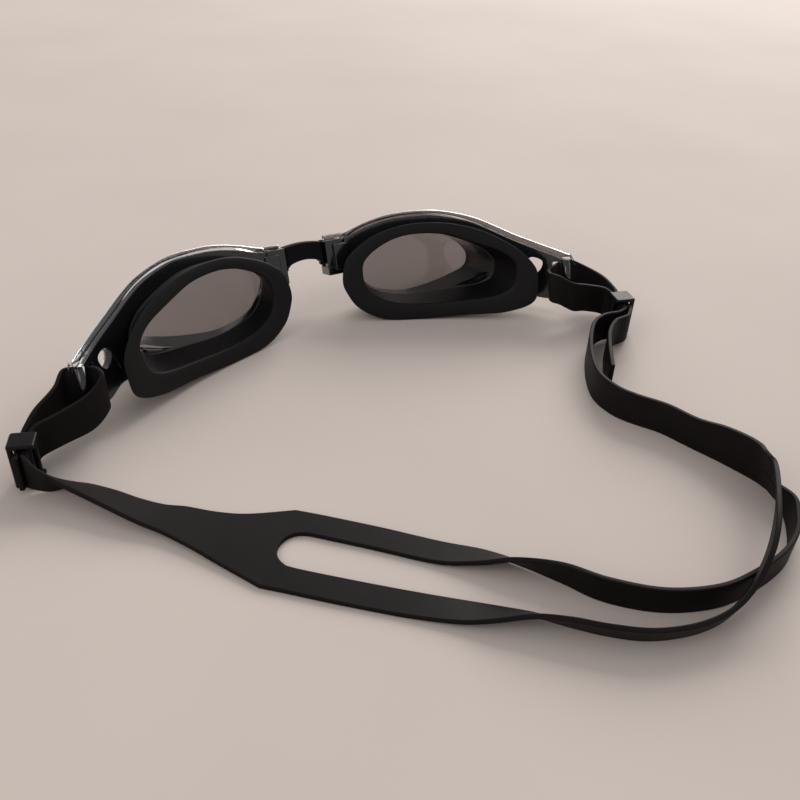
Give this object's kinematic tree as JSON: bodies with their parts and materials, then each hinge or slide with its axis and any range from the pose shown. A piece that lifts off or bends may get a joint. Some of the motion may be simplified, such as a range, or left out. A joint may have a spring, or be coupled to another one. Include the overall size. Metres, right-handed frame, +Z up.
{
  "type": "swimming goggles",
  "caption": "Swimming goggles with smoke lenses, soft face gaskets, a clip-in nose bridge and a split strap that slides through buckles, laid on a table.",
  "frame": {"origin": "middle of the object's box on the table that it lies on", "axes": "+Z up, +Y the way the lenses look, +X towards the wearer's right"},
  "size_m": [0.2008, 0.1802, 0.032],
  "materials": {
    "smoke_lens": "clear smoke-tinted moulding, glossy",
    "black_frame": "glossy black",
    "black_gasket": "matte black silicone",
    "black_bridge": "satin black",
    "black_strap": "satin black silicone",
    "black_buckle": "satin black"
  },
  "bodies": {
    "strap": {"strap": "black_strap"},
    "bridge": {"nose_bridge": "black_bridge"},
    "eye_cup_left": {"lens_left": "smoke_lens", "frame_left": "black_frame", "gasket_left": "black_gasket"},
    "eye_cup_right": {"lens_right": "smoke_lens", "frame_right": "black_frame", "gasket_right": "black_gasket"},
    "buckle_left": {"buckle_left": "black_buckle"},
    "buckle_right": {"buckle_right": "black_buckle"}
  },
  "joints": [
    {"name": "front_lift", "type": "slide", "parent": "strap", "child": "bridge", "axis": [0, 0.3289, 0.9444], "range_m": [0, 0.0008]},
    {"name": "eye_cup_right_swing", "type": "hinge", "parent": "bridge", "child": "eye_cup_right", "pos_m": [0.01426, 0.08569, 0.01873], "axis": [0, 0.3289, 0.9444], "range_deg": [-1, 0]},
    {"name": "eye_cup_left_swing", "type": "hinge", "parent": "bridge", "child": "eye_cup_left", "pos_m": [-0.00614, 0.08569, 0.01873], "axis": [0, 0.3289, 0.9444], "range_deg": [0, 1]},
    {"name": "buckle_right_slide", "type": "slide", "parent": "strap", "child": "buckle_right", "axis": [-0.2419, -0.9703, 0], "range_m": [-0.001, 0.001]},
    {"name": "buckle_left_slide", "type": "slide", "parent": "strap", "child": "buckle_left", "axis": [-0.309, -0.9511, 0], "range_m": [-0.001, 0.001]}
  ]
}
